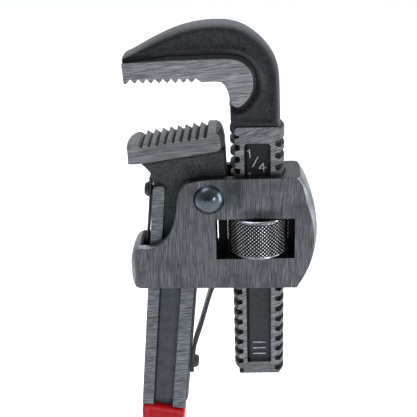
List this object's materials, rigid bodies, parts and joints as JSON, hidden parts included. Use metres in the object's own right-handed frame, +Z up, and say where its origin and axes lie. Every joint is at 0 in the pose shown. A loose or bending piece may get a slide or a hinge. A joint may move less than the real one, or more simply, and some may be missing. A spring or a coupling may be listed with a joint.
{
  "type": "pipe wrench",
  "caption": "Upright pipe wrench with toothed hook and heel jaws, a knurled nut that moves the threaded hook jaw, leaf springs and a dipped grip.",
  "frame": {"origin": "middle of the hand grip, on the handle's centre line and in the wrench's middle plane", "axes": "+Z up along the hook-jaw shank towards the jaws, +X across towards the shank side, -Y out of the side that shows the ground faces"},
  "size_m": [0.0972, 0.0288, 0.3367],
  "materials": {
    "handle_steel": "forged black with ground flanges",
    "grip_vinyl": "glossy dipped vinyl",
    "housing_steel": "coarse vertical brushing",
    "rivet_steel": "polished, blued",
    "jaw_steel": "forged black with ground faces",
    "nut_steel": "bright knurled",
    "spring_steel": "dark spring strip",
    "small_rivet_steel": "dark oxide"
  },
  "bodies": {
    "handle": {"handle": "handle_steel", "dipped_grip": "grip_vinyl", "pivot_rivet": "rivet_steel", "heel_spring": "spring_steel", "heel_spring_rivet": "small_rivet_steel", "handle_spring": "spring_steel", "handle_spring_rivet": "small_rivet_steel"},
    "housing": {"housing": "housing_steel"},
    "nut": {"adjusting_nut": "nut_steel"},
    "hook_jaw": {"hook_jaw": "jaw_steel"}
  },
  "joints": [
    {"name": "housing_rock", "type": "hinge", "parent": "handle", "child": "housing", "pos_m": [0.0335, 0, 0.19], "axis": [0, -1, 0], "range_deg": [-2, 2.5], "stiffness_Nm_per_rad": 60},
    {"name": "nut_spin", "type": "hinge", "parent": "housing", "child": "nut", "pos_m": [0.0535, 0, 0.172], "axis": [0, 0, -1], "range_deg": [-1134, 2693]},
    {"name": "jaw_slide", "type": "slide", "parent": "housing", "child": "hook_jaw", "axis": [0, 0, 1], "range_m": [-0.016, 0.038]}
  ],
  "couplings": [
    {"joint": "nut_spin", "follows": "jaw_slide", "rad_per_m": 1236.8}
  ]
}
